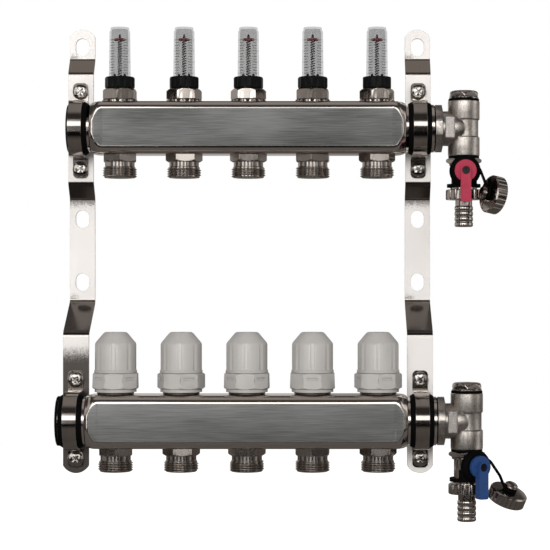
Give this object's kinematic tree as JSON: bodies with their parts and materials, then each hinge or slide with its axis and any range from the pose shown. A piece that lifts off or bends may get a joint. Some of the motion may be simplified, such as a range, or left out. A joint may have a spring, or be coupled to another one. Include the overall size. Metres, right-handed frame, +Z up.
{
  "type": "heating manifold",
  "caption": "Stainless heating manifold: a supply bar with flow meters over a return bar with capped valves, on cranked wall brackets, with a vent and drain valve at each right end.",
  "frame": {"origin": "midway between the paired wall slots of the left bracket, on the back face of its strip, which is the wall plane", "axes": "+X along the bars from the open inlets to the drain valves, +Y into the wall, +Z up"},
  "size_m": [0.3569, 0.0869, 0.3824],
  "materials": {
    "bar_steel": "brushed stainless steel with polished edges",
    "strip_steel": "mirror-polished stainless steel",
    "nickel_brass": "satin nickel plate on brass",
    "dark_brass": "dark oxidised brass",
    "zinc_steel": "bright zinc-plated steel",
    "black_rubber": "black rubber",
    "black_plastic": "black moulded plastic",
    "white_plastic": "white moulded plastic",
    "red_plastic": "red moulded plastic",
    "blue_plastic": "blue moulded plastic",
    "clear_plastic": "clear moulded plastic",
    "spring_steel": "bright spring wire"
  },
  "bodies": {
    "manifold": {"left_bracket": "strip_steel", "right_bracket": "strip_steel", "clamp_bands": "strip_steel", "clamp_liners": "black_rubber", "clamp_screws": "zinc_steel", "supply_bar": "bar_steel", "return_bar": "bar_steel", "outlet_nipples": "nickel_brass", "flow_meter_bodies": "nickel_brass", "flow_glasses": "clear_plastic", "valve_inserts": "dark_brass", "valve_cap_rings": "white_plastic", "seal_rings": "black_rubber", "drain_nuts": "nickel_brass", "vent_plugs": "nickel_brass", "flow_spring_1": "spring_steel", "flow_spring_2": "spring_steel", "flow_spring_3": "spring_steel", "flow_spring_4": "spring_steel", "flow_spring_5": "spring_steel", "supply_tee": "nickel_brass", "supply_drain_body": "nickel_brass", "supply_hose_tail": "nickel_brass", "supply_hose_cap": "nickel_brass", "supply_cap_strap": "black_rubber", "return_tee": "nickel_brass", "return_drain_body": "nickel_brass", "return_hose_tail": "nickel_brass", "return_hose_cap": "nickel_brass", "return_cap_strap": "black_rubber"},
    "collar_1": {"flow_collar_1": "black_plastic"},
    "indicator_1": {"flow_indicator_1": "red_plastic"},
    "knob_1": {"valve_knob_1": "white_plastic"},
    "spindle_1": {"valve_spindle_1": "nickel_brass"},
    "collar_2": {"flow_collar_2": "black_plastic"},
    "indicator_2": {"flow_indicator_2": "red_plastic"},
    "knob_2": {"valve_knob_2": "white_plastic"},
    "spindle_2": {"valve_spindle_2": "nickel_brass"},
    "collar_3": {"flow_collar_3": "black_plastic"},
    "indicator_3": {"flow_indicator_3": "red_plastic"},
    "knob_3": {"valve_knob_3": "white_plastic"},
    "spindle_3": {"valve_spindle_3": "nickel_brass"},
    "collar_4": {"flow_collar_4": "black_plastic"},
    "indicator_4": {"flow_indicator_4": "red_plastic"},
    "knob_4": {"valve_knob_4": "white_plastic"},
    "spindle_4": {"valve_spindle_4": "nickel_brass"},
    "collar_5": {"flow_collar_5": "black_plastic"},
    "indicator_5": {"flow_indicator_5": "red_plastic"},
    "knob_5": {"valve_knob_5": "white_plastic"},
    "spindle_5": {"valve_spindle_5": "nickel_brass"},
    "supply_bleed": {"supply_bleed_screw": "nickel_brass"},
    "supply_lever_set": {"supply_lever": "red_plastic", "supply_lever_screw": "zinc_steel", "supply_drain_stem": "nickel_brass", "supply_drain_ball": "nickel_brass"},
    "return_bleed": {"return_bleed_screw": "nickel_brass"},
    "return_lever_set": {"return_lever": "blue_plastic", "return_lever_screw": "zinc_steel", "return_drain_stem": "nickel_brass", "return_drain_ball": "nickel_brass"}
  },
  "joints": [
    {"name": "collar_turn_1", "type": "hinge", "parent": "manifold", "child": "collar_1", "pos_m": [0.033, -0.0335, 0.13], "axis": [0, 0, 1], "range_deg": [-450, 450]},
    {"name": "indicator_slide_1", "type": "slide", "parent": "manifold", "child": "indicator_1", "axis": [0, 0, -1], "range_m": [0, 0.022], "stiffness_N_per_m": 20, "springref_m": -0.003, "deforming": ["flow_spring_1"]},
    {"name": "knob_turn_1", "type": "hinge", "parent": "manifold", "child": "knob_1", "pos_m": [0.033, -0.0635, -0.0805], "axis": [0, 0, 1], "range_deg": [-720, 0]},
    {"name": "spindle_slide_1", "type": "slide", "parent": "manifold", "child": "spindle_1", "axis": [0, 0, 1], "range_m": [-0.003, 0]},
    {"name": "collar_turn_2", "type": "hinge", "parent": "manifold", "child": "collar_2", "pos_m": [0.083, -0.0335, 0.13], "axis": [0, 0, 1], "range_deg": [-450, 450]},
    {"name": "indicator_slide_2", "type": "slide", "parent": "manifold", "child": "indicator_2", "axis": [0, 0, -1], "range_m": [0, 0.022], "stiffness_N_per_m": 20, "springref_m": -0.003, "deforming": ["flow_spring_2"]},
    {"name": "knob_turn_2", "type": "hinge", "parent": "manifold", "child": "knob_2", "pos_m": [0.083, -0.0635, -0.0805], "axis": [0, 0, 1], "range_deg": [-720, 0]},
    {"name": "spindle_slide_2", "type": "slide", "parent": "manifold", "child": "spindle_2", "axis": [0, 0, 1], "range_m": [-0.003, 0]},
    {"name": "collar_turn_3", "type": "hinge", "parent": "manifold", "child": "collar_3", "pos_m": [0.133, -0.0335, 0.13], "axis": [0, 0, 1], "range_deg": [-450, 450]},
    {"name": "indicator_slide_3", "type": "slide", "parent": "manifold", "child": "indicator_3", "axis": [0, 0, -1], "range_m": [0, 0.022], "stiffness_N_per_m": 20, "springref_m": -0.003, "deforming": ["flow_spring_3"]},
    {"name": "knob_turn_3", "type": "hinge", "parent": "manifold", "child": "knob_3", "pos_m": [0.133, -0.0635, -0.0805], "axis": [0, 0, 1], "range_deg": [-720, 0]},
    {"name": "spindle_slide_3", "type": "slide", "parent": "manifold", "child": "spindle_3", "axis": [0, 0, 1], "range_m": [-0.003, 0]},
    {"name": "collar_turn_4", "type": "hinge", "parent": "manifold", "child": "collar_4", "pos_m": [0.183, -0.0335, 0.13], "axis": [0, 0, 1], "range_deg": [-450, 450]},
    {"name": "indicator_slide_4", "type": "slide", "parent": "manifold", "child": "indicator_4", "axis": [0, 0, -1], "range_m": [0, 0.022], "stiffness_N_per_m": 20, "springref_m": -0.003, "deforming": ["flow_spring_4"]},
    {"name": "knob_turn_4", "type": "hinge", "parent": "manifold", "child": "knob_4", "pos_m": [0.183, -0.0635, -0.0805], "axis": [0, 0, 1], "range_deg": [-720, 0]},
    {"name": "spindle_slide_4", "type": "slide", "parent": "manifold", "child": "spindle_4", "axis": [0, 0, 1], "range_m": [-0.003, 0]},
    {"name": "collar_turn_5", "type": "hinge", "parent": "manifold", "child": "collar_5", "pos_m": [0.233, -0.0335, 0.13], "axis": [0, 0, 1], "range_deg": [-450, 450]},
    {"name": "indicator_slide_5", "type": "slide", "parent": "manifold", "child": "indicator_5", "axis": [0, 0, -1], "range_m": [0, 0.022], "stiffness_N_per_m": 20, "springref_m": -0.003, "deforming": ["flow_spring_5"]},
    {"name": "knob_turn_5", "type": "hinge", "parent": "manifold", "child": "knob_5", "pos_m": [0.233, -0.0635, -0.0805], "axis": [0, 0, 1], "range_deg": [-720, 0]},
    {"name": "spindle_slide_5", "type": "slide", "parent": "manifold", "child": "spindle_5", "axis": [0, 0, 1], "range_m": [-0.003, 0]},
    {"name": "supply_bleed_turn", "type": "hinge", "parent": "manifold", "child": "supply_bleed", "pos_m": [0.3005, -0.0335, 0.1185], "axis": [0, 0, 1], "range_deg": [0, 360]},
    {"name": "supply_lever_turn", "type": "hinge", "parent": "manifold", "child": "supply_lever_set", "pos_m": [0.3005, -0.0335, 0.061], "axis": [0, 1, 0], "range_deg": [0, 90]},
    {"name": "return_bleed_turn", "type": "hinge", "parent": "manifold", "child": "return_bleed", "pos_m": [0.3005, -0.0635, -0.1065], "axis": [0, 0, 1], "range_deg": [0, 360]},
    {"name": "return_lever_turn", "type": "hinge", "parent": "manifold", "child": "return_lever_set", "pos_m": [0.3005, -0.0635, -0.164], "axis": [-0.4695, 0.8829, 0], "range_deg": [0, 90]}
  ],
  "couplings": [
    {"joint": "spindle_slide_1", "follows": "knob_turn_1", "m_per_rad": 0.00023873},
    {"joint": "spindle_slide_2", "follows": "knob_turn_2", "m_per_rad": 0.00023873},
    {"joint": "spindle_slide_3", "follows": "knob_turn_3", "m_per_rad": 0.00023873},
    {"joint": "spindle_slide_4", "follows": "knob_turn_4", "m_per_rad": 0.00023873},
    {"joint": "spindle_slide_5", "follows": "knob_turn_5", "m_per_rad": 0.00023873}
  ]
}
